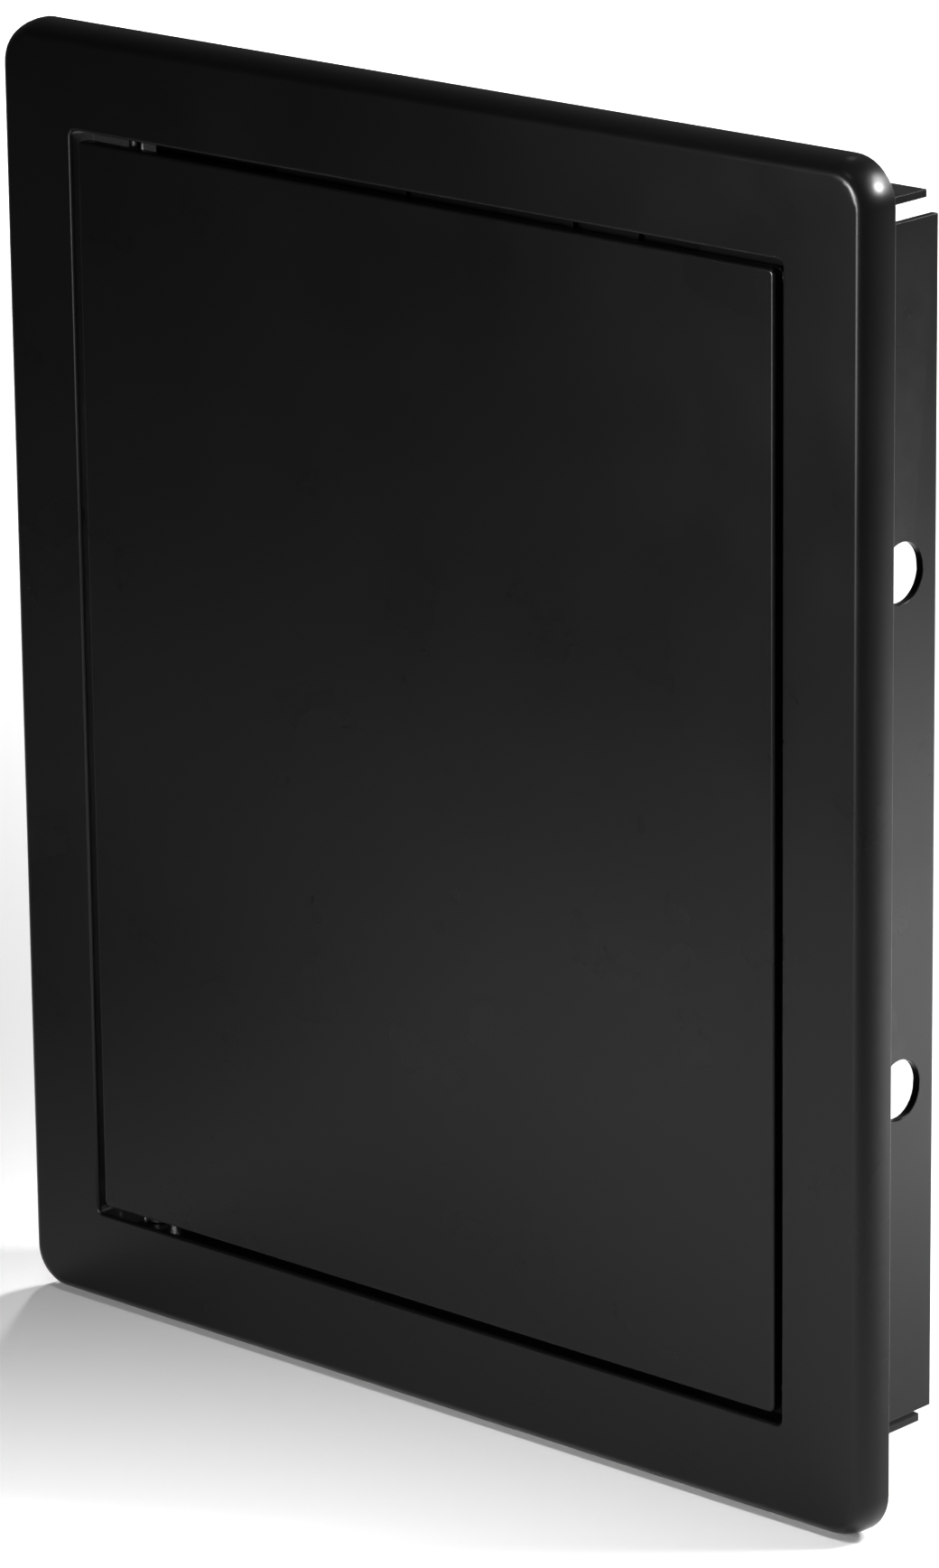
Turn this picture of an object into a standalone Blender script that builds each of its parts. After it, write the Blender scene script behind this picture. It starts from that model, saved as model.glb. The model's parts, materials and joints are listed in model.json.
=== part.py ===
"""Flush access panel: a moulded frame with a wall collar, a hinged door leaf and two press-to-open latches.

The origin is the middle of the wall opening, in the plane of the wall. X is to the right, Y goes into the
wall and Z is up. Dimensions below are in millimetres; the meshes are in metres.
"""

from math import cos, pi, radians, sin

import bmesh
import bpy
from mathutils import Matrix, Vector

MM = 0.001

# Frame
OPENING_WIDTH = 200.0
OPENING_HEIGHT = 248.0
BEZEL_WIDTH = 22.3
RIM_DEPTH = 8.5
EDGE_ROUND_WIDTH = 3.6
EDGE_ROUND_DEPTH = 7.2
CORNER_RADIUS = 10.0
LIP_CORNER_RADIUS = 1.2
LIP_ROUND = 0.8
SKIN = 2.2
LIP_WALL = 2.0
LEDGE_DEPTH = 5.3
LEDGE_THICKNESS = 2.0
STEP_THICKNESS = 2.0
LEDGE_REACH = 4.4
STEP_REACH = 3.5

# Wall collar behind the bezel
COLLAR_OFFSET = 9.0
COLLAR_WALL = 1.8
COLLAR_BACK = 30.0
SIDE_FLAP_HALF_LENGTH = 128.5
END_FLAP_HALF_LENGTH = 106.0
FIXING_HOLE_RADIUS = 6.5
FIXING_HOLE_HEIGHT = 55.5
FIXING_HOLE_INSET = 10.8
GUSSET_WALL = 1.6
GUSSET_REACH = 8.0
GUSSET_BACK = -1.5
GUSSET_LEVELS = (-100.0, -50.0, 0.0, 50.0, 100.0)
GUSSET_COLUMNS = (-80.0, -40.0, 0.0, 40.0, 80.0)

# Door leaf
DOOR_GAP = 2.0
DOOR_SKIN = 2.8
DOOR_ROUND = 0.8
DOOR_CORNER_RADIUS = 1.5
FLANGE_INSET = 3.0
FLANGE_WALL = 2.0
FLANGE_BACK = 1.0
RIB_WALL = 1.4
RIB_HEIGHT = 2.5
RIB_LEVELS = (-60.0, -20.0, 20.0, 60.0)
RIB_COLUMNS = (-66.0, 2.0, 70.0)

# Hinge
HINGE_INSET = 12.0
HINGE_DEPTH = 6.0
PIN_RADIUS = 1.5
PIN_TIP_HEIGHT = 128.5
PIN_CLEARANCE = 0.15
BUSH_RADIUS = 2.6
BUSH_FLANGE_RADIUS = 3.4
BUSH_FLANGE = 0.9
BUSH_LENGTH = 5.6
BOLT_FOOT_HEIGHT = 78.0
BOLT_HANDLE = 15.0
CLIP_RADIUS = 3.2
CLIP_THICKNESS = 1.5
PIN_CHAMFER = 0.7
FIXED_PIN_DEPTH = 6.5
SPRING_COIL_RADIUS = 2.4
SPRING_TURNS = 8
KNUCKLE_HALF_WIDTH = 4.0
KNUCKLE_HEIGHT = 10.0
LUG_HEIGHT = 7.0
SPRING_LUG_FOOT = 88.0
SPRING_LUG_TOP = 91.0
BEARING_HALF_WIDTH = 5.5
BEARING_BACK = 2.5

# Press-to-open latches
LATCH_X = 85.0
LATCH_HEIGHT = 85.0
LATCH_HOUSING_HALF = 8.5
LATCH_HOUSING_WALL = 1.8
LATCH_FRONT = 1.8
LATCH_BACK = 24.0
EAR_FRONT = 2.2
EAR_BACK = 4.0
PLUNGER_RADIUS = 4.0
PLUNGER_NOSE = -2.3
PLUNGER_SHOULDER = 10.3
PLUNGER_BACK = 14.3
MAGNET_RADIUS = 3.0
MAGNET_DEPTH = 2.5
LATCH_SCREW_X = 101.5
LATCH_SCREW_SPACING = 20.0
LATCH_BOSS_RADIUS = 3.0
LATCH_PILOT_RADIUS = 1.25
EAR_MARGIN = 4.5
EAR_OVERLAP = 1.4
COVER_THICKNESS = 1.6
COVER_PLUG = 2.5
SPIGOT_RADIUS = 2.2
SPIGOT_LENGTH = 2.0
SPRING_SEAT_RADIUS = 3.8
SPRING_SEAT_DEPTH = 2.0
LATCH_COIL_RADIUS = 2.95
LATCH_TURNS = 5
CAM_TRACK_HALF_WIDTH = 2.5
CAM_TRACK_FOOT = 4.6
CAM_WIRE_OFFSET = 5.5
CAM_WIRE_RADIUS = 0.3
WIRE_RADIUS = 0.35
STRIKE_FRONT = -3.9
STRIKE_THICKNESS = 1.0
STRIKE_HALF_WIDTH = 6.5
STRIKE_BELOW = 7.5
STRIKE_ABOVE = 12.5
STRIKE_SCREW_OFFSET = 9.0

# Fits and facets
TOUCH_GAP = 0.3
OVERLAP = 0.3
CORNER_FACETS = 10
EDGE_FACETS = 8
HOLE_FACETS = 32
SMALL_FACETS = 20

FACE = -RIM_DEPTH
HALF_WIDTH = OPENING_WIDTH / 2
HALF_HEIGHT = OPENING_HEIGHT / 2
DOOR_HALF_WIDTH = HALF_WIDTH - DOOR_GAP
DOOR_HALF_HEIGHT = HALF_HEIGHT - DOOR_GAP
DOOR_BACK = FACE + DOOR_SKIN
FLANGE_X = DOOR_HALF_WIDTH - FLANGE_INSET
FLANGE_Z = DOOR_HALF_HEIGHT - FLANGE_INSET
HINGE_X = -DOOR_HALF_WIDTH + HINGE_INSET
HINGE_Y = FACE + HINGE_DEPTH
STEP_FRONT = FACE + LEDGE_DEPTH
LEDGE_FRONT = STEP_FRONT + STEP_THICKNESS
LEDGE_BACK = LEDGE_FRONT + LEDGE_THICKNESS
COLLAR_X = HALF_WIDTH + COLLAR_OFFSET
COLLAR_Z = HALF_HEIGHT + COLLAR_OFFSET

# The raised steps on the stop ledge: (start, end) along X at the top and bottom, along Z at the free side.
END_STEPS = ((-43.6, -6.5), (-5.0, 40.0), (42.5, 57.8), (73.5, 101.0))
SIDE_STEPS = ((-125.0, -32.0), (-18.0, 18.0), (32.0, 125.0))
# The ledge stops short of the hinge, where the door's back edge swings inwards.
END_LEDGE_START = -81.0


def clear_scene():
    for obj in list(bpy.data.objects):
        bpy.data.objects.remove(obj, do_unlink=True)


def new_object(name, shape):
    """An object from a bmesh in millimetres."""
    bmesh.ops.scale(shape, vec=(MM, MM, MM), verts=shape.verts)
    bmesh.ops.recalc_face_normals(shape, faces=shape.faces)
    mesh = bpy.data.meshes.new(name)
    shape.to_mesh(mesh)
    shape.free()
    obj = bpy.data.objects.new(name, mesh)
    bpy.context.scene.collection.objects.link(obj)
    return obj


def box(low, high, name="tool", edge=0.0):
    """A box between two corners, with its edges rounded by edge."""
    shape = bmesh.new()
    bmesh.ops.create_cube(shape, size=1.0)
    size = Vector(high) - Vector(low)
    middle = (Vector(high) + Vector(low)) / 2
    bmesh.ops.scale(shape, vec=size, verts=shape.verts)
    bmesh.ops.translate(shape, vec=middle, verts=shape.verts)
    if edge:
        bmesh.ops.bevel(shape, geom=shape.edges, offset=edge, segments=2, profile=0.5, affect="EDGES")
    return new_object(name, shape)


def turned(profile, start, direction, facets, name="tool"):
    """A solid of revolution from (radius, distance) pairs, measured from start along direction."""
    shape = bmesh.new()
    turn = Vector((0, 0, 1)).rotation_difference(Vector(direction)).to_matrix()
    rings = []
    for radius, distance in profile:
        ring = []
        for step in range(facets):
            angle = 2 * pi * step / facets
            point = Vector((radius * cos(angle), radius * sin(angle), distance))
            ring.append(shape.verts.new(Vector(start) + turn @ point))
        rings.append(ring)
    bridge(shape, rings)
    shape.faces.new(list(reversed(rings[0])))
    shape.faces.new(rings[-1])
    return new_object(name, shape)


def cylinder(radius, start, direction, length, facets=SMALL_FACETS, name="tool"):
    return turned(((radius, 0.0), (radius, length)), start, direction, facets, name)


def bridge(shape, rings):
    """Quads between each ring and the next."""
    count = len(rings[0])
    for first, second in zip(rings, rings[1:]):
        for step in range(count):
            after = (step + 1) % count
            shape.faces.new((first[step], first[after], second[after], second[step]))


def rounded_ring(shape, half_x, half_z, radius, y):
    """Vertices round a rectangle with round corners, in the plane of the wall."""
    ring = []
    for corner, (side_x, side_z) in enumerate(((1, 1), (-1, 1), (-1, -1), (1, -1))):
        centre_x = side_x * (half_x - radius)
        centre_z = side_z * (half_z - radius)
        for step in range(CORNER_FACETS + 1):
            angle = radians(90 * corner + 90 * step / CORNER_FACETS)
            ring.append(shape.verts.new((centre_x + radius * cos(angle), y, centre_z + radius * sin(angle))))
    return ring


def rounding(outer_x, outer_z, outer_radius, width, depth, front):
    """(half_x, half_z, radius, y) rows of a quarter-ellipse edge, from the flat face out to the side."""
    rows = []
    for step in range(EDGE_FACETS + 1):
        angle = radians(90 * step / EDGE_FACETS)
        inset = width * (1 - sin(angle))
        y = front + depth * (1 - cos(angle))
        rows.append((outer_x - inset, outer_z - inset, outer_radius - inset, y))
    return rows


def combine(target, tools, operation):
    """Joins or cuts the tools, one after another, and removes them."""
    for tool in tools:
        modifier = target.modifiers.new("Boolean", "BOOLEAN")
        modifier.operation = operation
        modifier.solver = "EXACT"
        modifier.object = tool
        graph = bpy.context.evaluated_depsgraph_get()
        mesh = bpy.data.meshes.new_from_object(target.evaluated_get(graph))
        target.modifiers.clear()
        target.data = mesh
        bpy.data.objects.remove(tool, do_unlink=True)
    return target


def bent_wire(name, points, radius, place, roundness=1, widths=None):
    """A round wire through points measured from place; widths scale its radius at each point."""
    curve = bpy.data.curves.new(name, "CURVE")
    curve.dimensions = "3D"
    curve.bevel_depth = radius * MM
    curve.bevel_resolution = roundness
    curve.use_fill_caps = True
    spline = curve.splines.new("POLY")
    spline.points.add(len(points) - 1)
    for point, place_along, width in zip(spline.points, points, widths or [1.0] * len(points)):
        point.co = (*(Vector(place_along) * MM), 1.0)
        point.radius = width
    wire = bpy.data.objects.new(name, curve)
    wire.location = Vector(place) * MM
    bpy.context.scene.collection.objects.link(wire)
    return wire


def set_origin(obj, point):
    """Moves the object's origin to a point in millimetres and leaves its shape in place."""
    place = Vector(point) * MM
    obj.data.transform(Matrix.Translation(-place))
    obj.location = place


def finish(obj, colour, roughness, metallic=0.0):
    """Gives the object its own material and smooth shading over its round faces."""
    material = bpy.data.materials.new(obj.name)
    material.use_nodes = True
    shader = material.node_tree.nodes["Principled BSDF"]
    shader.inputs["Base Color"].default_value = (*colour, 1.0)
    shader.inputs["Roughness"].default_value = roughness
    shader.inputs["Metallic"].default_value = metallic
    obj.data.materials.clear()
    obj.data.materials.append(material)
    if obj.type == "MESH":
        obj.data.shade_smooth()
        obj.data.set_sharp_from_angle(angle=radians(35))
    return obj


def black_plastic(obj):
    return finish(obj, (0.012, 0.012, 0.013), 0.38)


def grey_plastic(obj):
    return finish(obj, (0.05, 0.05, 0.055), 0.5)


def pale_plastic(obj):
    return finish(obj, (0.72, 0.71, 0.67), 0.45)


def steel(obj):
    return finish(obj, (0.62, 0.62, 0.64), 0.3, 1.0)


def dark_steel(obj):
    return finish(obj, (0.05, 0.05, 0.055), 0.4, 1.0)


def dark_magnet(obj):
    return finish(obj, (0.09, 0.09, 0.1), 0.4, 0.6)


# Frame


def bezel():
    """The bezel's skin, rim and lip as one closed loop of rings."""
    outer_x = HALF_WIDTH + BEZEL_WIDTH
    outer_z = HALF_HEIGHT + BEZEL_WIDTH
    pocket = (outer_x - SKIN, outer_z - SKIN, CORNER_RADIUS - SKIN)
    lip_outside = (HALF_WIDTH + LIP_WALL, HALF_HEIGHT + LIP_WALL, LIP_CORNER_RADIUS + LIP_WALL)
    lip_inside = (HALF_WIDTH, HALF_HEIGHT, LIP_CORNER_RADIUS)
    rows = rounding(outer_x, outer_z, CORNER_RADIUS, EDGE_ROUND_WIDTH, EDGE_ROUND_DEPTH, FACE)
    rows.append((outer_x, outer_z, CORNER_RADIUS, 0.0))
    rows.append((*pocket, 0.0))
    rows.append((*pocket, FACE + SKIN))
    rows.append((*lip_outside, FACE + SKIN))
    rows.append((*lip_outside, LEDGE_FRONT))
    rows.append((*lip_inside, LEDGE_FRONT))
    for step in range(EDGE_FACETS + 1):
        angle = radians(90 * step / EDGE_FACETS)
        grow = LIP_ROUND * (1 - cos(angle))
        y = FACE + LIP_ROUND * (1 - sin(angle))
        rows.append((HALF_WIDTH + grow, HALF_HEIGHT + grow, LIP_CORNER_RADIUS + grow, y))
    shape = bmesh.new()
    rings = [rounded_ring(shape, *row) for row in rows]
    bridge(shape, rings + [rings[0]])
    return new_object("frame", shape)


def ledge_pieces():
    """The stop ledge along the top, the bottom and the free side, with raised steps on its front."""
    inner_z = HALF_HEIGHT - LEDGE_REACH
    outer_z = COLLAR_Z - OVERLAP
    step_z = HALF_HEIGHT - STEP_REACH
    outer_x = COLLAR_X - OVERLAP
    front = LEDGE_FRONT - OVERLAP
    pieces = [box((HALF_WIDTH - LEDGE_REACH, front, -outer_z), (outer_x, LEDGE_BACK, outer_z))]
    for start, end in SIDE_STEPS:
        pieces.append(box((HALF_WIDTH - STEP_REACH, STEP_FRONT, start), (outer_x, LEDGE_FRONT, end)))
    for side in (-1, 1):
        low, high = sorted((side * inner_z, side * outer_z))
        pieces.append(box((END_LEDGE_START, front, low), (outer_x, LEDGE_BACK, high)))
        low, high = sorted((side * step_z, side * outer_z))
        for start, end in END_STEPS:
            pieces.append(box((start, STEP_FRONT, low), (end, LEDGE_FRONT, high)))
    return pieces


def collar_flaps():
    """Two side flaps and two end flaps, which don't meet at the corners."""
    front = FACE + SKIN - OVERLAP
    flaps = []
    for side in (-1, 1):
        low, high = sorted((side * COLLAR_X, side * (COLLAR_X - COLLAR_WALL)))
        flaps.append(box((low, front, -SIDE_FLAP_HALF_LENGTH), (high, COLLAR_BACK, SIDE_FLAP_HALF_LENGTH)))
        low, high = sorted((side * COLLAR_Z, side * (COLLAR_Z - COLLAR_WALL)))
        flaps.append(box((-END_FLAP_HALF_LENGTH, front, low), (END_FLAP_HALF_LENGTH, COLLAR_BACK, high)))
    return flaps


def gussets():
    """Small webs that brace the collar's root against the bezel's skin."""
    half = GUSSET_WALL / 2
    front = FACE + SKIN - OVERLAP
    webs = []
    for side in (-1, 1):
        low, high = sorted((side * (COLLAR_X - OVERLAP), side * (COLLAR_X + GUSSET_REACH)))
        for z in GUSSET_LEVELS:
            webs.append(box((low, front, z - half), (high, GUSSET_BACK, z + half)))
        low, high = sorted((side * (COLLAR_Z - OVERLAP), side * (COLLAR_Z + GUSSET_REACH)))
        for x in GUSSET_COLUMNS:
            webs.append(box((x - half, front, low), (x + half, GUSSET_BACK, high)))
    return webs


def bearing_blocks():
    """The blocks that hold the hinge bushes, above and below the opening."""
    left = HINGE_X - BEARING_HALF_WIDTH
    right = HINGE_X + BEARING_HALF_WIDTH
    front = FACE + SKIN - OVERLAP
    blocks = []
    for side in (-1, 1):
        low, high = sorted((side * (HALF_HEIGHT + TOUCH_GAP), side * (COLLAR_Z - COLLAR_WALL + OVERLAP)))
        blocks.append(box((left, front, low), (right, BEARING_BACK, high)))
    return blocks


def bush_seats():
    """Stepped holes for the bushes."""
    past = 0.5
    radial_gap = 0.2
    mouth = HALF_HEIGHT - past
    flange_floor = HALF_HEIGHT + 2 * TOUCH_GAP + BUSH_FLANGE
    floor = HALF_HEIGHT + 2 * TOUCH_GAP + BUSH_LENGTH
    seats = []
    for side in (-1, 1):
        start = (HINGE_X, HINGE_Y, side * mouth)
        direction = (0, 0, side)
        seats.append(cylinder(BUSH_FLANGE_RADIUS + TOUCH_GAP, start, direction, flange_floor - mouth))
        seats.append(cylinder(BUSH_RADIUS + radial_gap, start, direction, floor - mouth))
    return seats


def latch_screw_places():
    """(x, z) of each latch housing screw, upper latch first."""
    places = []
    for latch in (LATCH_HEIGHT, -LATCH_HEIGHT):
        for side in (1, -1):
            places.append((LATCH_SCREW_X, latch + side * LATCH_SCREW_SPACING / 2))
    return places


def latch_bosses():
    """Bosses on the ledge's back for the latch housing screws."""
    start = LEDGE_BACK - OVERLAP
    length = EAR_FRONT - TOUCH_GAP - start
    return [cylinder(LATCH_BOSS_RADIUS, (x, start, z), (0, 1, 0), length) for x, z in latch_screw_places()]


def latch_boss_pilots():
    """Blind pilot holes in the bosses."""
    skin = 0.8
    floor = STEP_FRONT + skin
    length = EAR_FRONT - floor
    return [cylinder(LATCH_PILOT_RADIUS, (x, floor, z), (0, 1, 0), length) for x, z in latch_screw_places()]


def fixing_holes():
    """Round holes through both side flaps, for a fixing screw or a plaster key."""
    past = 2.0
    y = COLLAR_BACK - FIXING_HOLE_INSET
    holes = []
    for side in (-1, 1):
        for z in (-FIXING_HOLE_HEIGHT, FIXING_HOLE_HEIGHT):
            start = (side * (COLLAR_X + past), y, z)
            length = COLLAR_WALL + 2 * past
            holes.append(cylinder(FIXING_HOLE_RADIUS, start, (-side, 0, 0), length, HOLE_FACETS))
    return holes


def make_frame():
    frame = bezel()
    added = ledge_pieces() + collar_flaps() + gussets() + bearing_blocks() + latch_bosses()
    combine(frame, added, "UNION")
    combine(frame, bush_seats() + latch_boss_pilots() + fixing_holes(), "DIFFERENCE")
    return black_plastic(frame)


def make_bush(name, side):
    """A flanged bush; side is 1 above the door and -1 below it."""
    start = (HINGE_X, HINGE_Y, side * (HALF_HEIGHT + TOUCH_GAP))
    profile = (
        (BUSH_FLANGE_RADIUS, 0.0),
        (BUSH_FLANGE_RADIUS, BUSH_FLANGE),
        (BUSH_RADIUS, BUSH_FLANGE),
        (BUSH_RADIUS, BUSH_LENGTH),
    )
    bush = turned(profile, start, (0, 0, side), SMALL_FACETS, name)
    past = 1.0
    bore_start = (HINGE_X, HINGE_Y, side * (HALF_HEIGHT - past))
    bore_length = BUSH_LENGTH + TOUCH_GAP + 2 * past
    bore = cylinder(PIN_RADIUS + PIN_CLEARANCE, bore_start, (0, 0, side), bore_length)
    combine(bush, [bore], "DIFFERENCE")
    return grey_plastic(bush)


# Door


def leaf():
    """The door's skin with its return flange, as one closed shape."""
    skin = (DOOR_HALF_WIDTH, DOOR_HALF_HEIGHT, DOOR_CORNER_RADIUS)
    flange_outside = (FLANGE_X, FLANGE_Z, DOOR_CORNER_RADIUS)
    flange_inside = (FLANGE_X - FLANGE_WALL, FLANGE_Z - FLANGE_WALL, DOOR_CORNER_RADIUS)
    rows = rounding(*skin, DOOR_ROUND, DOOR_ROUND, FACE)
    rows.append((*skin, DOOR_BACK))
    rows.append((*flange_outside, DOOR_BACK))
    rows.append((*flange_outside, FLANGE_BACK))
    rows.append((*flange_inside, FLANGE_BACK))
    rows.append((*flange_inside, DOOR_BACK))
    shape = bmesh.new()
    rings = [rounded_ring(shape, *row) for row in rows]
    bridge(shape, rings)
    shape.faces.new(rings[0])
    shape.faces.new(list(reversed(rings[-1])))
    return new_object("door", shape)


def door_ribs():
    """A shallow grid of stiffening ribs behind the skin."""
    half = RIB_WALL / 2
    front = DOOR_BACK - OVERLAP
    back = DOOR_BACK + RIB_HEIGHT
    ribs = []
    for z in RIB_LEVELS:
        ribs.append(box((RIB_COLUMNS[0], front, z - half), (RIB_COLUMNS[-1], back, z + half)))
    for x in RIB_COLUMNS:
        ribs.append(box((x - half, front, -FLANGE_Z + OVERLAP), (x + half, back, FLANGE_Z - OVERLAP)))
    return ribs


def knuckles():
    """Two lugs for the sprung bolt at the top and one knuckle for the fixed pin at the bottom."""
    proud = 0.5
    back = FLANGE_BACK + proud
    front = DOOR_BACK - OVERLAP
    spans = (
        (FLANGE_Z - LUG_HEIGHT, FLANGE_Z),
        (SPRING_LUG_FOOT, SPRING_LUG_TOP),
        (-FLANGE_Z, -FLANGE_Z + KNUCKLE_HEIGHT),
    )
    lugs = []
    for low, high in spans:
        corner = (HINGE_X - KNUCKLE_HALF_WIDTH, front, low)
        lugs.append(box(corner, (HINGE_X + KNUCKLE_HALF_WIDTH, back, high)))
    return lugs


def knuckle_bores():
    """The upper pin's bore runs through both lugs; the lower pin's is blind."""
    radius = PIN_RADIUS + PIN_CLEARANCE
    past = 4.0
    foot = SPRING_LUG_FOOT - past
    upper = cylinder(radius, (HINGE_X, HINGE_Y, foot), (0, 0, 1), FLANGE_Z + past - foot)
    blind_end = -FLANGE_Z + FIXED_PIN_DEPTH + TOUCH_GAP
    lower = cylinder(radius, (HINGE_X, HINGE_Y, blind_end), (0, 0, -1), FIXED_PIN_DEPTH + past)
    return [upper, lower]


def strike_pads():
    """Raised pads that the strike plates lie on."""
    margin = 0.4
    pads = []
    for latch in (LATCH_HEIGHT, -LATCH_HEIGHT):
        low = (LATCH_X - STRIKE_HALF_WIDTH - margin, DOOR_BACK - OVERLAP, latch - STRIKE_BELOW - margin)
        high = (LATCH_X + STRIKE_HALF_WIDTH + margin, STRIKE_FRONT - TOUCH_GAP, latch + STRIKE_ABOVE + margin)
        pads.append(box(low, high))
    return pads


def strike_pilots():
    """Blind pilot holes for the strike plate screws, which stop short of the door's face."""
    radius = 1.1
    skin = 1.7
    floor = FACE + skin
    length = STRIKE_FRONT - floor
    places = [(LATCH_X, floor, latch + STRIKE_SCREW_OFFSET) for latch in (LATCH_HEIGHT, -LATCH_HEIGHT)]
    return [cylinder(radius, place, (0, 1, 0), length) for place in places]


def make_door():
    door = leaf()
    combine(door, door_ribs() + knuckles() + strike_pads(), "UNION")
    combine(door, knuckle_bores() + strike_pilots(), "DIFFERENCE")
    set_origin(door, (HINGE_X, HINGE_Y, 0.0))
    return black_plastic(door)


# Hinge


def make_bolt():
    """The sprung upper hinge pin, with its foot bent into a finger pull."""
    bend = 3.0
    bend_facets = 6
    points = [(BOLT_HANDLE, 0.0, 0.0)]
    for step in range(bend_facets + 1):
        angle = radians(90 * step / bend_facets)
        points.append((bend * (1 - sin(angle)), 0.0, bend * (1 - cos(angle))))
    length = PIN_TIP_HEIGHT - BOLT_FOOT_HEIGHT
    points.append((0.0, 0.0, length - PIN_CHAMFER))
    points.append((0.0, 0.0, length))
    widths = [1.0] * (len(points) - 1) + [1.0 - PIN_CHAMFER / PIN_RADIUS]
    foot = (HINGE_X, HINGE_Y, BOLT_FOOT_HEIGHT)
    return dark_steel(bent_wire("hinge_pin_upper", points, PIN_RADIUS, foot, 3, widths))


def make_clip():
    """The ring on the bolt that the spring pushes up against the door's lug."""
    past = 1.0
    top = FLANGE_Z - LUG_HEIGHT - TOUCH_GAP
    start = (HINGE_X, HINGE_Y, top - CLIP_THICKNESS)
    clip = cylinder(CLIP_RADIUS, start, (0, 0, 1), CLIP_THICKNESS, name="hinge_pin_clip")
    bore_start = (HINGE_X, HINGE_Y, start[2] - past)
    bore = cylinder(PIN_RADIUS + PIN_CLEARANCE, bore_start, (0, 0, 1), CLIP_THICKNESS + 2 * past)
    combine(clip, [bore], "DIFFERENCE")
    return dark_steel(clip)


def make_fixed_pin():
    """The lower hinge pin, whose shoulder carries the door on the lower bush."""
    shoulder_radius = 3.0
    shoulder_clearance = 0.1
    shoulder_top = -FLANGE_Z - TOUCH_GAP
    shoulder_foot = -HALF_HEIGHT + shoulder_clearance
    top = shoulder_top + FIXED_PIN_DEPTH
    profile = (
        (PIN_RADIUS, 0.0),
        (PIN_RADIUS, top - shoulder_top),
        (shoulder_radius, top - shoulder_top),
        (shoulder_radius, top - shoulder_foot),
        (PIN_RADIUS, top - shoulder_foot),
        (PIN_RADIUS, top + PIN_TIP_HEIGHT - PIN_CHAMFER),
        (PIN_RADIUS - PIN_CHAMFER, top + PIN_TIP_HEIGHT),
    )
    pin = turned(profile, (HINGE_X, HINGE_Y, top), (0, 0, -1), SMALL_FACETS, "hinge_pin_lower")
    return dark_steel(pin)


def coil_spring(name, foot, direction, radius, length, turns):
    """A helical spring as a round wire along a computed path."""
    facets = 14
    wire = WIRE_RADIUS
    turn = Vector((0, 0, 1)).rotation_difference(Vector(direction)).to_matrix()
    count = facets * turns
    points = []
    for step in range(count + 1):
        angle = 2 * pi * step / facets
        rise = wire + (length - 2 * wire) * step / count
        points.append(turn @ Vector((radius * cos(angle), radius * sin(angle), rise)))
    return steel(bent_wire(name, points, wire, foot))


def make_bolt_spring():
    """The spring between the lower lug and the clip."""
    foot = SPRING_LUG_TOP + TOUCH_GAP
    top = FLANGE_Z - LUG_HEIGHT - CLIP_THICKNESS - 2 * TOUCH_GAP
    place = (HINGE_X, HINGE_Y, foot)
    length = top - foot
    return coil_spring("hinge_spring", place, (0, 0, 1), SPRING_COIL_RADIUS, length, SPRING_TURNS)


# Latches


def make_housing(name, height):
    """The latch body: a box open at the back, with an eared front plate that is screwed to the frame."""
    half = LATCH_HOUSING_HALF
    inner = half - LATCH_HOUSING_WALL
    front_wall = 2.0
    past = 1.0
    screw_hole_radius = 1.4
    ear_half = LATCH_SCREW_SPACING / 2 + EAR_MARGIN
    ear_end = COLLAR_X - COLLAR_WALL - 2 * TOUCH_GAP
    low = (LATCH_X - half, LATCH_FRONT, height - half)
    housing = box(low, (LATCH_X + half, LATCH_BACK, height + half), name, 0.6)
    ear_low = (LATCH_X + half - EAR_OVERLAP, EAR_FRONT, height - ear_half)
    ear = box(ear_low, (ear_end, EAR_BACK, height + ear_half), edge=0.3)
    combine(housing, [ear], "UNION")
    cavity_low = (LATCH_X - inner, LATCH_FRONT + front_wall, height - inner)
    cavity = box(cavity_low, (LATCH_X + inner, LATCH_BACK + past, height + inner))
    mouth_start = (LATCH_X, LATCH_FRONT - past, height)
    mouth = cylinder(PLUNGER_RADIUS + TOUCH_GAP, mouth_start, (0, 1, 0), front_wall + 2 * past)
    cuts = [cavity, mouth]
    for side in (-1, 1):
        place = (LATCH_SCREW_X, EAR_FRONT - past, height + side * LATCH_SCREW_SPACING / 2)
        length = EAR_BACK - EAR_FRONT + 2 * past
        cuts.append(cylinder(screw_hole_radius, place, (0, 1, 0), length))
    combine(housing, cuts, "DIFFERENCE")
    return grey_plastic(housing)


def make_cover(name, height):
    """The cap that closes the latch body and seats the spring."""
    half = LATCH_HOUSING_HALF
    plug = half - LATCH_HOUSING_WALL - TOUCH_GAP
    plug_front = LATCH_BACK - COVER_PLUG
    cap_front = LATCH_BACK + TOUCH_GAP
    past = 1.0
    wire_hole_radius = 0.7
    wire_hole_depth = 2.0
    low = (LATCH_X - half, cap_front, height - half)
    cover = box(low, (LATCH_X + half, cap_front + COVER_THICKNESS, height + half), name, 0.5)
    plug_low = (LATCH_X - plug, plug_front, height - plug)
    plug_box = box(plug_low, (LATCH_X + plug, cap_front + OVERLAP, height + plug))
    spigot_start = (LATCH_X, plug_front - SPIGOT_LENGTH, height)
    spigot = cylinder(SPIGOT_RADIUS, spigot_start, (0, 1, 0), SPIGOT_LENGTH + OVERLAP)
    combine(cover, [plug_box, spigot], "UNION")
    hole_start = (LATCH_X, plug_front - past, height + CAM_WIRE_OFFSET)
    wire_hole = cylinder(wire_hole_radius, hole_start, (0, 1, 0), wire_hole_depth + past)
    combine(cover, [wire_hole], "DIFFERENCE")
    return grey_plastic(cover)


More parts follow.
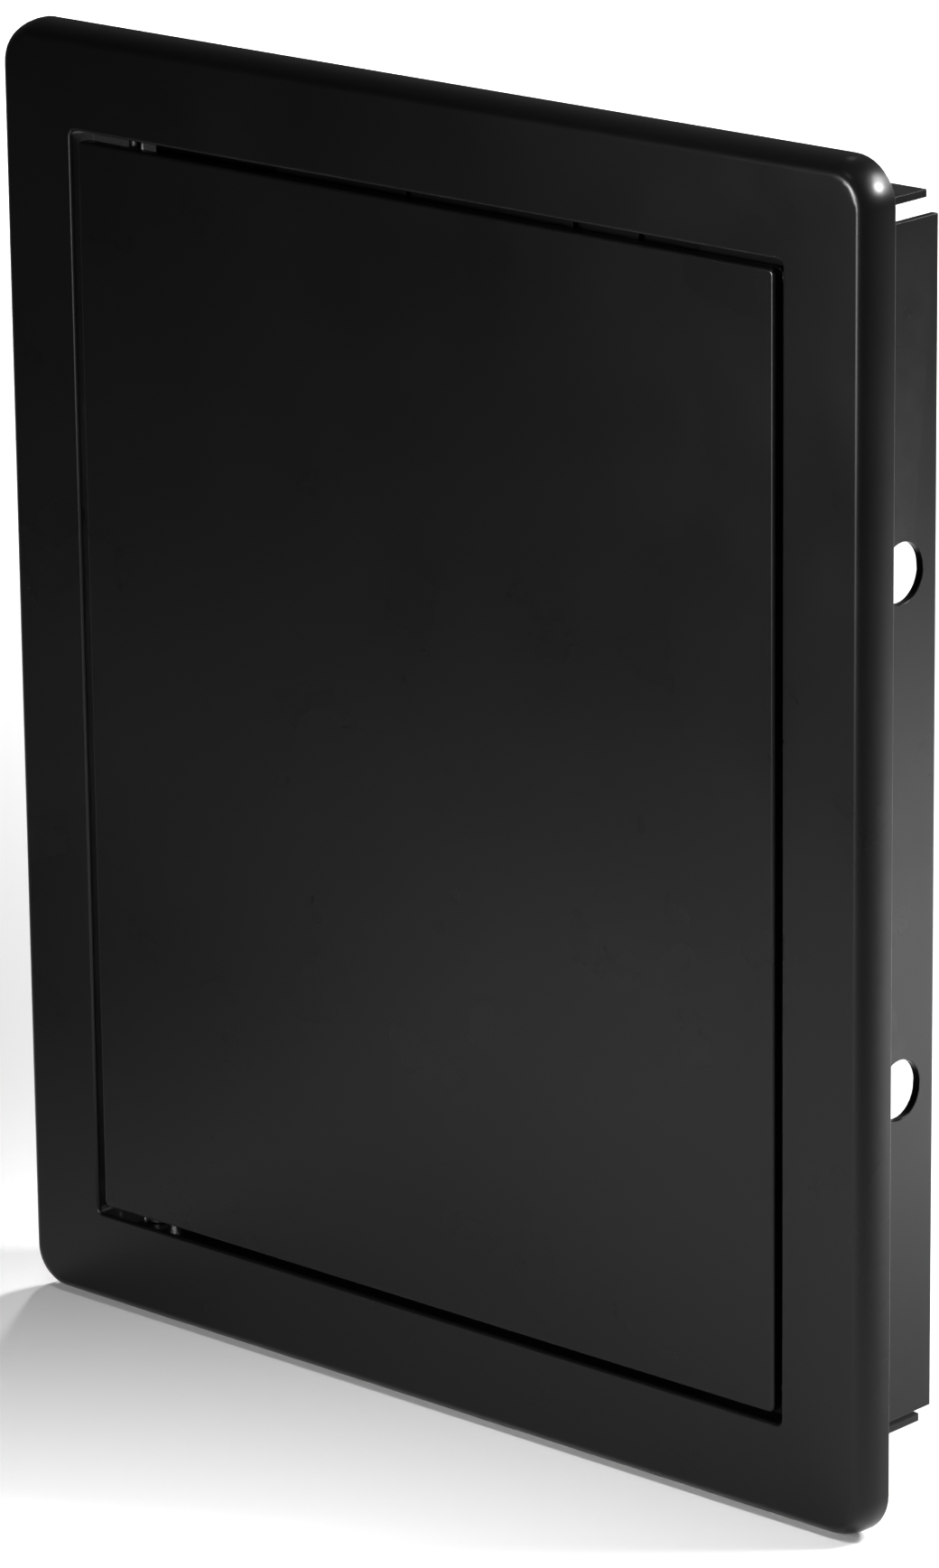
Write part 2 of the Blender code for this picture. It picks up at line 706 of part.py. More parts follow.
def make_plunger(name, height):
    """The sprung plunger, with a magnet pocket in its nose and a square guided shoulder."""
    square = LATCH_HOUSING_HALF - LATCH_HOUSING_WALL - TOUCH_GAP
    chamfer = 0.4
    past = 1.0
    nose = (LATCH_X, PLUNGER_NOSE, height)
    stem_length = PLUNGER_SHOULDER + OVERLAP - PLUNGER_NOSE
    profile = ((PLUNGER_RADIUS - chamfer, 0.0), (PLUNGER_RADIUS, chamfer), (PLUNGER_RADIUS, stem_length))
    plunger = turned(profile, nose, (0, 1, 0), HOLE_FACETS, name)
    low = (LATCH_X - square, PLUNGER_SHOULDER, height - square)
    shoulder = box(low, (LATCH_X + square, PLUNGER_BACK, height + square))
    combine(plunger, [shoulder], "UNION")
    pocket_radius = MAGNET_RADIUS + 0.2
    pocket_start = (LATCH_X, PLUNGER_NOSE - past, height)
    pocket = cylinder(pocket_radius, pocket_start, (0, 1, 0), past + MAGNET_DEPTH)
    seat_start = (LATCH_X, PLUNGER_BACK - SPRING_SEAT_DEPTH, height)
    spring_seat = cylinder(SPRING_SEAT_RADIUS, seat_start, (0, 1, 0), SPRING_SEAT_DEPTH + past)
    track_low = (LATCH_X - CAM_TRACK_HALF_WIDTH, PLUNGER_SHOULDER - past, height + CAM_TRACK_FOOT)
    track_high = (LATCH_X + CAM_TRACK_HALF_WIDTH, PLUNGER_BACK + past, height + square + past)
    track = box(track_low, track_high)
    combine(plunger, [pocket, spring_seat, track], "DIFFERENCE")
    set_origin(plunger, nose)
    return pale_plastic(plunger)


def make_magnet(name, height):
    """The magnet stands slightly proud of its pocket."""
    front = PLUNGER_NOSE - TOUCH_GAP
    magnet = cylinder(MAGNET_RADIUS, (LATCH_X, front, height), (0, 1, 0), MAGNET_DEPTH, name=name)
    return dark_magnet(magnet)


def make_latch_spring(name, height):
    """The spring between the plunger's seat and the cover, round the cover's spigot."""
    front = PLUNGER_BACK - SPRING_SEAT_DEPTH + TOUCH_GAP
    length = LATCH_BACK - COVER_PLUG - TOUCH_GAP - front
    return coil_spring(name, (LATCH_X, front, height), (0, 1, 0), LATCH_COIL_RADIUS, length, LATCH_TURNS)


def make_cam_wire(name, height):
    """The wire whose bent end follows the cam track in the plunger's shoulder."""
    points = ((0.0, 22.8, 0.0), (0.0, 12.2, 0.0), (0.4, 11.6, -0.1), (1.4, 11.4, -0.2))
    return steel(bent_wire(name, points, CAM_WIRE_RADIUS, (LATCH_X, 0.0, height + CAM_WIRE_OFFSET)))


def pan_screw(name, place, head_radius, head_height, shank_radius, shank_length):
    """A pan-head screw driven towards -Y, with a cross recess; place is the underside of its head."""
    x, y, z = place
    point = 1.0
    past = 1.0
    profile = (
        (shank_radius * 0.5, -shank_length),
        (shank_radius, point - shank_length),
        (shank_radius, 0.0),
        (head_radius, 0.0),
        (head_radius, head_height * 0.55),
        (head_radius * 0.6, head_height),
    )
    screw = turned(profile, place, (0, 1, 0), SMALL_FACETS, name)
    long_half = head_radius * 0.5
    short_half = head_radius * 0.13
    floor = y + head_height * 0.45
    top = y + head_height + past
    across = box((x - long_half, floor, z - short_half), (x + long_half, top, z + short_half))
    upright = box((x - short_half, floor, z - long_half), (x + short_half, top, z + long_half))
    combine(screw, [across, upright], "DIFFERENCE")
    return steel(screw)


def make_latch_screws():
    """Two screws hold each latch housing to the bosses behind the ledge."""
    y = EAR_BACK + TOUCH_GAP
    head_radius, head_height = 2.6, 1.9
    shank_radius, shank_length = 1.0, 5.6
    for number, (x, z) in enumerate(latch_screw_places(), 1):
        name = f"latch_screw_{number}"
        pan_screw(name, (x, y, z), head_radius, head_height, shank_radius, shank_length)


def make_strike(name, height):
    """The steel plate on the door's back that the magnet holds."""
    past = 1.0
    hole_radius = 1.3
    back = STRIKE_FRONT + STRIKE_THICKNESS
    low = (LATCH_X - STRIKE_HALF_WIDTH, STRIKE_FRONT, height - STRIKE_BELOW)
    plate = box(low, (LATCH_X + STRIKE_HALF_WIDTH, back, height + STRIKE_ABOVE), name, 0.2)
    hole_start = (LATCH_X, STRIKE_FRONT - past, height + STRIKE_SCREW_OFFSET)
    hole = cylinder(hole_radius, hole_start, (0, 1, 0), STRIKE_THICKNESS + 2 * past)
    combine(plate, [hole], "DIFFERENCE")
    return steel(plate)


def make_strike_screw(name, height):
    """A low screw through the strike plate into the door's pad."""
    y = STRIKE_FRONT + STRIKE_THICKNESS + TOUCH_GAP
    head_radius, head_height = 2.2, 1.2
    shank_radius, shank_length = 0.85, 3.6
    place = (LATCH_X, y, height + STRIKE_SCREW_OFFSET)
    return pan_screw(name, place, head_radius, head_height, shank_radius, shank_length)


def attach(child_names, parent_name):
    """Parents objects without moving them."""
    bpy.context.view_layer.update()
    parent = bpy.data.objects[parent_name]
    for name in child_names:
        child = bpy.data.objects[name]
        child.parent = parent
        child.matrix_parent_inverse = parent.matrix_world.inverted()


def make_panel():
    clear_scene()
    make_frame()
    make_bush("hinge_bush_upper", 1)
    make_bush("hinge_bush_lower", -1)
    make_door()
    make_bolt()
    make_clip()
    make_bolt_spring()
    make_fixed_pin()
    for level, height in (("upper", LATCH_HEIGHT), ("lower", -LATCH_HEIGHT)):
        make_housing(f"latch_housing_{level}", height)
        make_cover(f"latch_cover_{level}", height)
        make_plunger(f"latch_plunger_{level}", height)
        make_magnet(f"latch_magnet_{level}", height)
        make_latch_spring(f"latch_spring_{level}", height)
        make_cam_wire(f"latch_cam_wire_{level}", height)
        make_strike(f"strike_plate_{level}", height)
        make_strike_screw(f"strike_screw_{level}", height)
        attach([f"latch_magnet_{level}"], f"latch_plunger_{level}")
        attach([f"strike_plate_{level}", f"strike_screw_{level}"], "door")
    make_latch_screws()
    attach(["hinge_pin_clip"], "hinge_pin_upper")
    attach(["hinge_pin_upper", "hinge_spring", "hinge_pin_lower"], "door")


make_panel()
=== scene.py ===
"""Looks of the flush access panel: finished surfaces, procedural materials, studio light and camera."""

import json
from math import cos, pi, radians, sin

import bmesh
import bpy
from mathutils import Matrix, Vector


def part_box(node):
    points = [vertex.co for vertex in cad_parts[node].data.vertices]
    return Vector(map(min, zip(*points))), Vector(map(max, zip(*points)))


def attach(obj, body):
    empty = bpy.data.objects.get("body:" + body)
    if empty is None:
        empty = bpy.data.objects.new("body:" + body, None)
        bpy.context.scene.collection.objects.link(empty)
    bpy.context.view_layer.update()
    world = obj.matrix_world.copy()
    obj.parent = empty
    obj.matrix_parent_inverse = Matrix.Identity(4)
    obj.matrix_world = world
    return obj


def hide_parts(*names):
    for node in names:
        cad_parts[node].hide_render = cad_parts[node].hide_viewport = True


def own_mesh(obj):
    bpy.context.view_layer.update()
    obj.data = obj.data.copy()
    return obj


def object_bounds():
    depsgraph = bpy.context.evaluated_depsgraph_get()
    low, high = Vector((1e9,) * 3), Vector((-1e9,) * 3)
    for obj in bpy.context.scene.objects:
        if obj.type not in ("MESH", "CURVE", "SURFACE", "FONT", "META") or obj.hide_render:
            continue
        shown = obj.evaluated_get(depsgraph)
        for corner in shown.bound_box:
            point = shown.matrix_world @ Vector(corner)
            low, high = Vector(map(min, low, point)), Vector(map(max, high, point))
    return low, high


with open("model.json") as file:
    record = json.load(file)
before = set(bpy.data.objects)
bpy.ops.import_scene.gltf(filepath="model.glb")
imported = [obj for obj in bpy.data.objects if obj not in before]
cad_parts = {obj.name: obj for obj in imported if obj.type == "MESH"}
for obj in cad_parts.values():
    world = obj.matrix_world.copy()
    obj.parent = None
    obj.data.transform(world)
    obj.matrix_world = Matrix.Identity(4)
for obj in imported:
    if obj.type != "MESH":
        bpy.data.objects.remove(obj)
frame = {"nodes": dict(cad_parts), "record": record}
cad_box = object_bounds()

MM = 0.001

BODIES = frame["record"]["behaviour"]["bodies"]
LEVELS = ("upper", "lower")
LATCH_SCREWS = 4

# Merging of the CAD's triangles into whole faces, and the rounds on their edges
WELD = 0.002 * MM
FLAT_ANGLE = radians(0.4)
SHARP_ANGLE = radians(38)
EDGE_SEGMENTS = 2

# Coil springs
WIRE_RADIUS = 0.35 * MM
WIRE_SIDES = 12
COIL_STEPS = 40
LATCH_SPRING_TURNS = 5
HINGE_SPRING_TURNS = 8

# Wires that follow the latches' cam tracks; the end value is the share of the radius at a cut end
CAM_WIRE_RADIUS = 0.3 * MM
CAM_WIRE_BEND = 0.9 * MM
CAM_WIRE_BEND_STEPS = 6
CAM_WIRE_FOOT = 0.2 * MM
CAM_WIRE_TIP = 0.1 * MM
CAM_WIRE_END = 0.7

# Sprung hinge bolt; the end value is the share of the radius at the pull's end, and the nose profile
# is (share of the nose's length, share of the rod's radius)
BOLT_SIDES = 32
BOLT_BEND = 3.0 * MM
BOLT_BEND_STEPS = 12
BOLT_CHAMFER = 0.4 * MM
BOLT_END = 0.75
BOLT_NOSE = 0.7 * MM
NOSE_PROFILE = ((1.0, 1.0), (0.5, 0.86), (0.15, 0.66), (0.0, 0.5))

# Screws; the dome is (share of the head's radius, share of its height), and the recess has
# (height, half length, half width) at its mouth and at its bottom, as shares of its reach
LATCH_SCREW_HEAD = 1.9 * MM
STRIKE_SCREW_HEAD = 1.2 * MM
HEAD_SIDES = 40
HEAD_DOME = (
    (0.3, 0.0), (0.94, 0.0), (1.0, 0.08), (1.0, 0.38), (0.95, 0.62), (0.82, 0.82), (0.62, 0.94), (0.3, 1.0)
)
RECESS_REACH = 0.52
RECESS_ENDS = ((0.3, 1.15, 0.22), (-0.9, 0.35, 0.12))
RECESS_CORNERS = ((1, 1), (-1, 1), (-1, -1), (1, -1))
CORE_TO_HEAD = 0.9 / 2.6
THREAD_PITCH = 0.8 * MM
THREAD_HEIGHT = 0.18 * MM
THREAD_WIDTH = 0.55
THREAD_SIDES = 32
THREAD_STEPS = 10
POINT_LENGTH = 1.1 * MM
POINT_WIDTH = 0.25

# Ejector marks on the back of the door's skin; columns and rows, in millimetres, lie clear of the ribs
MARK_RADIUS = 2.5 * MM
MARK_SIDES = 28
MARK_RIM = 0.12 * MM
MARK_RIM_WIDTH = 0.15 * MM
MARK_SLOPE_END = 0.25 * MM
MARK_EDGE = 0.04 * MM
MARK_MIDDLE = 0.03 * MM
MARK_MIDDLE_SHARE = 0.2
SKIN_THICKNESS = 2.8 * MM
MARK_COLUMNS = (-48, -16, 20, 52)
MARK_ROWS = (-90, -40, 0, 40, 90)

# Noise: its usual range of values, and its scales in cycles per metre
NOISE_LOW = 0.3
NOISE_HIGH = 0.7
WEAR_SCALE = 220.0
CLOUD_SCALE = 14.0
SHEEN_SCALE = 38.0
RIPPLE_SCALE = 9.0
PLATING_SCALE = 300.0
BLOTCH_SCALE = 420.0

# Pointiness over which an edge's wear starts and is full
PLASTIC_WEAR = (0.54, 0.62)
METAL_WEAR = (0.52, 0.6)

# Relief and gloss: how far the surface and the roughness stray
RIPPLE_DEPTH = 0.05 * MM
PLASTIC_GLOSS = 0.025
METAL_GLOSS_LOW = 0.07
METAL_GLOSS_HIGH = 0.09

# Studio, in metres
FLOOR_HALF = 6.0
FLOOR_GREY = 0.85
FLOOR_ROUGHNESS = 0.9
SPOT_RADIUS = 0.08
WORLD_STRENGTH = 0.08

# Camera, aimed near the middle of the opening: angles in degrees, distances in metres
CAMERA_AZIMUTH = 42.3
CAMERA_ELEVATION = 16.74
CAMERA_ROLL = -0.65
CAMERA_DISTANCE = 1.59
CAMERA_AIM = (0.0145, -0.0085, -0.0011)
LENS = 173.2
SENSOR = 36.0


# Shapes


def body_holding(node):
    return next(body for body, nodes in BODIES.items() if node in nodes)


def whole_faces(node):
    """The CAD node's shape with its triangles merged back into whole faces.

    Faces with notches or slots are split again, because the bevel would leave them badly shaped.
    """
    shape = bmesh.new()
    shape.from_mesh(frame["nodes"][node].data)
    bmesh.ops.remove_doubles(shape, verts=shape.verts, dist=WELD)
    bmesh.ops.dissolve_limit(shape, angle_limit=FLAT_ANGLE, verts=shape.verts, edges=shape.edges)
    shape.normal_update()
    concave = [face for face in shape.faces if not all(loop.is_convex for loop in face.loops)]
    bmesh.ops.triangulate(shape, faces=concave)
    return shape


def new_piece(name, shape):
    """A smooth-shaded object made from the shape, which is used up."""
    bmesh.ops.recalc_face_normals(shape, faces=shape.faces)
    mesh = bpy.data.meshes.new(name)
    shape.to_mesh(mesh)
    shape.free()
    mesh.shade_smooth()
    piece = bpy.data.objects.new(name, mesh)
    bpy.context.scene.collection.objects.link(piece)
    return piece


def round_edges(piece, width):
    """Rounds every sharp edge and keeps the faces between them looking flat."""
    bevel = piece.modifiers.new("Edges", "BEVEL")
    bevel.limit_method = "ANGLE"
    bevel.angle_limit = SHARP_ANGLE
    bevel.width = width
    bevel.segments = EDGE_SEGMENTS
    bevel.use_clamp_overlap = False
    bevel.face_strength_mode = "FSTR_ALL"
    normals = piece.modifiers.new("Normals", "WEIGHTED_NORMAL")
    normals.keep_sharp = True
    normals.use_face_influence = True


def stand_for(piece, node, material):
    """The piece takes the CAD node's place, moves with its body and wears the material."""
    piece.data.materials.clear()
    piece.data.materials.append(material)
    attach(piece, body_holding(node))
    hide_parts(node)


def refine(node, material, edge):
    """A finished copy of a CAD node, its edges rounded by a width in millimetres."""
    piece = new_piece(f"{node}_finished", whole_faces(node))
    round_edges(piece, edge * MM)
    stand_for(piece, node, material)


def skin_rings(shape, rings):
    """Closes rings of points into one tube with flat ends."""
    loops = [[shape.verts.new(point) for point in ring] for ring in rings]
    count = len(loops[0])
    for ring, following in zip(loops, loops[1:]):
        for i in range(count):
            j = (i + 1) % count
            shape.faces.new((ring[i], ring[j], following[j], following[i]))
    shape.faces.new(loops[0])
    shape.faces.new(loops[-1])


def around(centre, across, up, radius, sides):
    """A circle of points; across and up are unit vectors at right angles."""
    ring = []
    for i in range(sides):
        angle = 2 * pi * i / sides
        ring.append(centre + radius * (cos(angle) * across + sin(angle) * up))
    return ring


def swept(shape, path, radii, sides):
    """A round wire along a path of points, with a radius for each point."""
    rings = []
    across = None
    for i, point in enumerate(path):
        ahead = (path[min(i + 1, len(path) - 1)] - path[max(i - 1, 0)]).normalized()
        if across is None:
            across = ahead.orthogonal()
        across = (across - across.dot(ahead) * ahead).normalized()
        rings.append(around(point, across, ahead.cross(across), radii[i], sides))
    skin_rings(shape, rings)


def quarter_bend(start, heading, side, radius, steps):
    """Points along a quarter circle that starts along the heading and ends along the side."""
    points = []
    for step in range(steps + 1):
        angle = radians(90 * step / steps)
        points.append(start + radius * sin(angle) * heading + radius * (1 - cos(angle)) * side)
    return points


def turned(shape, profile, place, direction, sides):
    """A turned solid from (radius, height) points along the direction."""
    axis = Vector(direction)
    across = axis.orthogonal().normalized()
    up = axis.cross(across)
    rings = [around(Vector(place) + height * axis, across, up, radius, sides) for radius, height in profile]
    skin_rings(shape, rings)


# Springs and wires


def coil_height(turn, turns, length):
    """Height along a coil spring: one closed turn at each end and an open pitch between."""
    closed = 2 * WIRE_RADIUS
    open_pitch = (length - WIRE_RADIUS - 2 * closed) / (turns - 2)
    if turn <= 1:
        return WIRE_RADIUS / 2 + closed * turn
    if turn >= turns - 1:
        return length - WIRE_RADIUS / 2 - closed * (turns - turn)
    return WIRE_RADIUS / 2 + closed + open_pitch * (turn - 1)


def coil(name, foot, direction, radius, length, turns):
    """A compression spring with closed and ground ends."""
    axis = Vector(direction)
    across = axis.orthogonal().normalized()
    up = axis.cross(across)
    foot = Vector(foot)
    path = []
    for step in range(COIL_STEPS * turns + 1):
        angle = 2 * pi * step / COIL_STEPS
        height = coil_height(step / COIL_STEPS, turns, length)
        path.append(foot + radius * (cos(angle) * across + sin(angle) * up) + height * axis)
    shape = bmesh.new()
    swept(shape, path, [WIRE_RADIUS] * len(path), WIRE_SIDES)
    for vert in shape.verts:
        height = (vert.co - foot).dot(axis)
        vert.co += (min(max(height, 0.0), length) - height) * axis
    return new_piece(name, shape)


def make_latch_spring(level, material):
    """The coil behind a latch's plunger."""
    node = f"latch_spring_{level}"
    low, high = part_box(node)
    foot = ((low.x + high.x) / 2, high.y, (low.z + high.z) / 2)
    radius = (high.x - low.x) / 2 - WIRE_RADIUS
    spring = coil(f"{node}_wire", foot, (0, -1, 0), radius, high.y - low.y, LATCH_SPRING_TURNS)
    stand_for(spring, node, material)
    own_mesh(spring)


def make_hinge_spring(material):
    """The coil around the hinge bolt."""
    low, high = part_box("hinge_spring")
    foot = ((low.x + high.x) / 2, (low.y + high.y) / 2, low.z)
    radius = (high.x - low.x) / 2 - WIRE_RADIUS
    spring = coil("hinge_spring_wire", foot, (0, 0, 1), radius, high.z - low.z, HINGE_SPRING_TURNS)
    stand_for(spring, "hinge_spring", material)
    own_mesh(spring)


def make_cam_wire(level, material):
    """A straight stem with a short hooked tip."""
    node = f"latch_cam_wire_{level}"
    low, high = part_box(node)
    x = low.x + CAM_WIRE_RADIUS
    y = low.y + CAM_WIRE_RADIUS
    z = high.z - CAM_WIRE_RADIUS
    stem_end = Vector((x, y + CAM_WIRE_BEND, z))
    path = [Vector((x, high.y, z)), Vector((x, high.y - CAM_WIRE_FOOT, z))]
    path += quarter_bend(stem_end, Vector((0, -1, 0)), Vector((1, 0, 0)), CAM_WIRE_BEND, CAM_WIRE_BEND_STEPS)
    path += [Vector((high.x - CAM_WIRE_TIP, y, z)), Vector((high.x, y, z))]
    radii = [CAM_WIRE_RADIUS] * len(path)
    radii[0] = CAM_WIRE_END * CAM_WIRE_RADIUS
    radii[-1] = CAM_WIRE_END * CAM_WIRE_RADIUS
    shape = bmesh.new()
    swept(shape, path, radii, WIRE_SIDES)
    stand_for(new_piece(f"{node}_bent", shape), node, material)


# Hinge bolt


def make_bolt(material):
    """The sprung hinge pin: a bullet-nosed rod with its foot bent into a finger pull."""
    low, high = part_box("hinge_pin_upper")
    radius = (high.y - low.y) / 2
    x = low.x + radius
    y = (low.y + high.y) / 2
    z = low.z + radius
    pull_end = Vector((x + BOLT_BEND, y, z))
    path = [Vector((high.x, y, z)), Vector((high.x - BOLT_CHAMFER, y, z))]
    path += quarter_bend(pull_end, Vector((-1, 0, 0)), Vector((0, 0, 1)), BOLT_BEND, BOLT_BEND_STEPS)
    radii = [radius] * len(path)
    radii[0] = BOLT_END * radius
    for share, width in NOSE_PROFILE:
        path.append(Vector((x, y, high.z - share * BOLT_NOSE)))
        radii.append(width * radius)
    shape = bmesh.new()
    swept(shape, path, radii, BOLT_SIDES)
    stand_for(new_piece("hinge_pin_upper_rod", shape), "hinge_pin_upper", material)


# Screws


def thread_radius(turn, height, core, length):
    """Radius of a threaded shank at a turn (0 to 1) and a height below the head."""
    from_root = abs(((height / THREAD_PITCH - turn) % 1.0) - 0.5) * 2
    crest = max(0.0, 1.0 - from_root / THREAD_WIDTH)
    taper = min(1.0, (length - height) / POINT_LENGTH)
    return core * (POINT_WIDTH + (1.0 - POINT_WIDTH) * taper) + crest * THREAD_HEIGHT * taper


def threaded_shank(shape, top, core, length):
    """A helical thread on a pointed shank that runs towards -Y."""
    count = int(length / THREAD_PITCH * THREAD_STEPS)
    rings = []
    for i in range(count + 1):
        height = length * i / count
        ring = []
        for side in range(THREAD_SIDES):
            turn = side / THREAD_SIDES
            radius = thread_radius(turn, height, core, length)
            angle = 2 * pi * turn
            ring.append(top + Vector((radius * cos(angle), -height, radius * sin(angle))))
        rings.append(ring)
    skin_rings(shape, rings)


def cross_recess(shape, top, reach):
    """A tapered cross-shaped cutter that stands on the head and points into it."""
    for along in (Vector((1, 0, 0)), Vector((0, 0, 1))):
        across = Vector((0, 1, 0)).cross(along)
        rings = []
        for height, half_length, half_width in RECESS_ENDS:
            centre = top + Vector((0, height * reach, 0))
            end = half_length * reach * along
            side = half_width * reach * across
            rings.append([centre + a * end + b * side for a, b in RECESS_CORNERS])
        skin_rings(shape, rings)


def cut(piece, cutter):
    """Cuts the cutter, whose arms cross, out of the piece for good, and removes the cutter."""
    boolean = piece.modifiers.new("Cut", "BOOLEAN")
    boolean.operation = "DIFFERENCE"
    boolean.object = cutter
    boolean.use_self = True
    depsgraph = bpy.context.evaluated_depsgraph_get()
    mesh = bpy.data.meshes.new_from_object(piece.evaluated_get(depsgraph))
    piece.modifiers.clear()
    piece.data = mesh
    bpy.data.objects.remove(cutter)


def make_screw(node, head_height, material):
    """A pan-head screw with a domed head, a cross recess and a cut thread."""
    low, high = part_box(node)
    head_radius = (high.x - low.x) / 2
    seat = Vector(((low.x + high.x) / 2, high.y - head_height, (low.z + high.z) / 2))
    head_shape = bmesh.new()
    profile = [(share * head_radius, rise * head_height) for share, rise in HEAD_DOME]
    turned(head_shape, profile, seat, (0, 1, 0), HEAD_SIDES)
    screw = new_piece(f"{node}_cut", head_shape)
    recess_shape = bmesh.new()
    cross_recess(recess_shape, Vector((seat.x, high.y, seat.z)), RECESS_REACH * head_radius)
    cut(screw, new_piece("recess", recess_shape))
    finished = bmesh.new()
    finished.from_mesh(screw.data)
    threaded_shank(finished, seat, CORE_TO_HEAD * head_radius, seat.y - low.y)
    finished.to_mesh(screw.data)
    finished.free()
    screw.data.shade_smooth()
    screw.data.set_sharp_from_angle(angle=SHARP_ANGLE)
    stand_for(screw, node, material)


# Moulding marks on the back of the door


def ejector_mark(shape, place):
    """The shallow mark an ejector pin leaves: a fine raised rim round a sunken disc."""
    profile = (
        (MARK_RADIUS, 0.0),
        (MARK_RADIUS, MARK_RIM),
        (MARK_RADIUS - MARK_RIM_WIDTH, MARK_RIM),
        (MARK_RADIUS - MARK_SLOPE_END, MARK_EDGE),
        (MARK_MIDDLE_SHARE * MARK_RADIUS, MARK_MIDDLE),
    )
    turned(shape, profile, place, (0, 1, 0), MARK_SIDES)


def make_marks(material):
    """Ejector marks in the cells between the door's ribs."""
    low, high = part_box("door")
    shape = bmesh.new()
    for z in MARK_ROWS:
        for x in MARK_COLUMNS:
            ejector_mark(shape, (x * MM, low.y + SKIN_THICKNESS, z * MM))
    piece = new_piece("door_ejector_marks", shape)
    piece.data.set_sharp_from_angle(angle=SHARP_ANGLE)
    piece.data.materials.append(material)
    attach(piece, "door")


# Materials


def grey(level):
    return (level, level, level)


def new_material(name, roughness, metallic=0.0):
    material = bpy.data.materials.new(name)
    material.use_nodes = True
    shader = material.node_tree.nodes["Principled BSDF"]
    shader.inputs["Roughness"].default_value = roughness
    shader.inputs["Metallic"].default_value = metallic
    return material, shader


def noise(tree, scale, detail, stretch=(1.0, 1.0, 1.0)):
    """Noise in the piece's own coordinates."""
    place = tree.nodes.new("ShaderNodeTexCoord")
    mapping = tree.nodes.new("ShaderNodeMapping")
    mapping.inputs["Scale"].default_value = stretch
    tree.links.new(place.outputs["Object"], mapping.inputs["Vector"])
    texture = tree.nodes.new("ShaderNodeTexNoise")
    texture.inputs["Scale"].default_value = scale
    texture.inputs["Detail"].default_value = detail
    tree.links.new(mapping.outputs["Vector"], texture.inputs["Vector"])
    return texture.outputs["Fac"]


def blend_colours(tree, source, dark, light):
    """Goes from the dark to the light colour over the noise's usual range."""
    node = tree.nodes.new("ShaderNodeValToRGB")
    stops = ((NOISE_LOW, dark), (NOISE_HIGH, light))
    for element, (position, colour) in zip(node.color_ramp.elements, stops):
        element.position = position
        element.color = (*colour, 1.0)
    tree.links.new(source, node.inputs["Fac"])
    return node.outputs["Color"]


def spread(tree, source, low, high, start=NOISE_LOW, end=NOISE_HIGH):
    """Maps the source's range from start to end onto low to high."""
    node = tree.nodes.new("ShaderNodeMapRange")
    node.inputs["From Min"].default_value = start
    node.inputs["From Max"].default_value = end
    node.inputs["To Min"].default_value = low
    node.inputs["To Max"].default_value = high
    tree.links.new(source, node.inputs["Value"])
    return node.outputs["Result"]


def worn_edges(tree, colour, wear, limits):
    """Mixes a wear colour in along the convex edges, broken up by noise."""
    pointiness = tree.nodes.new("ShaderNodeNewGeometry").outputs["Pointiness"]
    edges = spread(tree, pointiness, 0.0, 1.0, *limits)
    patches = spread(tree, noise(tree, WEAR_SCALE, detail=4.0), 0.0, 1.0)
    amount = tree.nodes.new("ShaderNodeMath")
    amount.operation = "MULTIPLY"
    tree.links.new(edges, amount.inputs[0])
    tree.links.new(patches, amount.inputs[1])
    mix = tree.nodes.new("ShaderNodeMix")
    mix.data_type = "RGBA"
    mix.inputs["B"].default_value = (*wear, 1.0)
    tree.links.new(amount.outputs["Value"], mix.inputs["Factor"])
    tree.links.new(colour, mix.inputs["A"])
    return mix.outputs["Result"]


def bump(tree, shader, heights):
    """Stacks (source, depth in metres) pairs into the surface's relief."""
    normal = None
    for source, depth in heights:
        node = tree.nodes.new("ShaderNodeBump")
        node.inputs["Distance"].default_value = depth
        tree.links.new(source, node.inputs["Height"])
        if normal is not None:
            tree.links.new(normal, node.inputs["Normal"])
        normal = node.outputs["Normal"]
    tree.links.new(normal, shader.inputs["Normal"])


def plastic(name, dark, light, roughness, specular, grain, depth, wear=None):
    """Moulded plastic: cloudy pigment, a fine sparked grain and slow changes of gloss."""
    material, shader = new_material(name, roughness)
    tree = material.node_tree
    shader.inputs["Specular IOR Level"].default_value = specular
    colour = blend_colours(tree, noise(tree, CLOUD_SCALE, detail=5.0), dark, light)
    if wear is not None:
        colour = worn_edges(tree, colour, wear, PLASTIC_WEAR)
    tree.links.new(colour, shader.inputs["Base Color"])
    sheen = noise(tree, SHEEN_SCALE, detail=4.0)
    gloss = spread(tree, sheen, roughness - PLASTIC_GLOSS, roughness + PLASTIC_GLOSS)
    tree.links.new(gloss, shader.inputs["Roughness"])
    ripple = noise(tree, RIPPLE_SCALE, detail=2.0)
    bump(tree, shader, ((ripple, RIPPLE_DEPTH), (noise(tree, grain, detail=2.0), depth * MM)))
    return material


def metal(name, dark, light, roughness, stretch, grain, depth):
    """Drawn or plated metal: blotchy colour and fine lines along the draw."""
    material, shader = new_material(name, roughness, 1.0)
    tree = material.node_tree
    colour = blend_colours(tree, noise(tree, PLATING_SCALE, detail=5.0), dark, light)
    tree.links.new(worn_edges(tree, colour, light, METAL_WEAR), shader.inputs["Base Color"])
    blotches = noise(tree, BLOTCH_SCALE, detail=4.0)
    gloss = spread(tree, blotches, roughness - METAL_GLOSS_LOW, roughness + METAL_GLOSS_HIGH)
    tree.links.new(gloss, shader.inputs["Roughness"])
    bump(tree, shader, ((noise(tree, grain, detail=2.0, stretch=stretch), depth * MM),))
    return material


# Studio


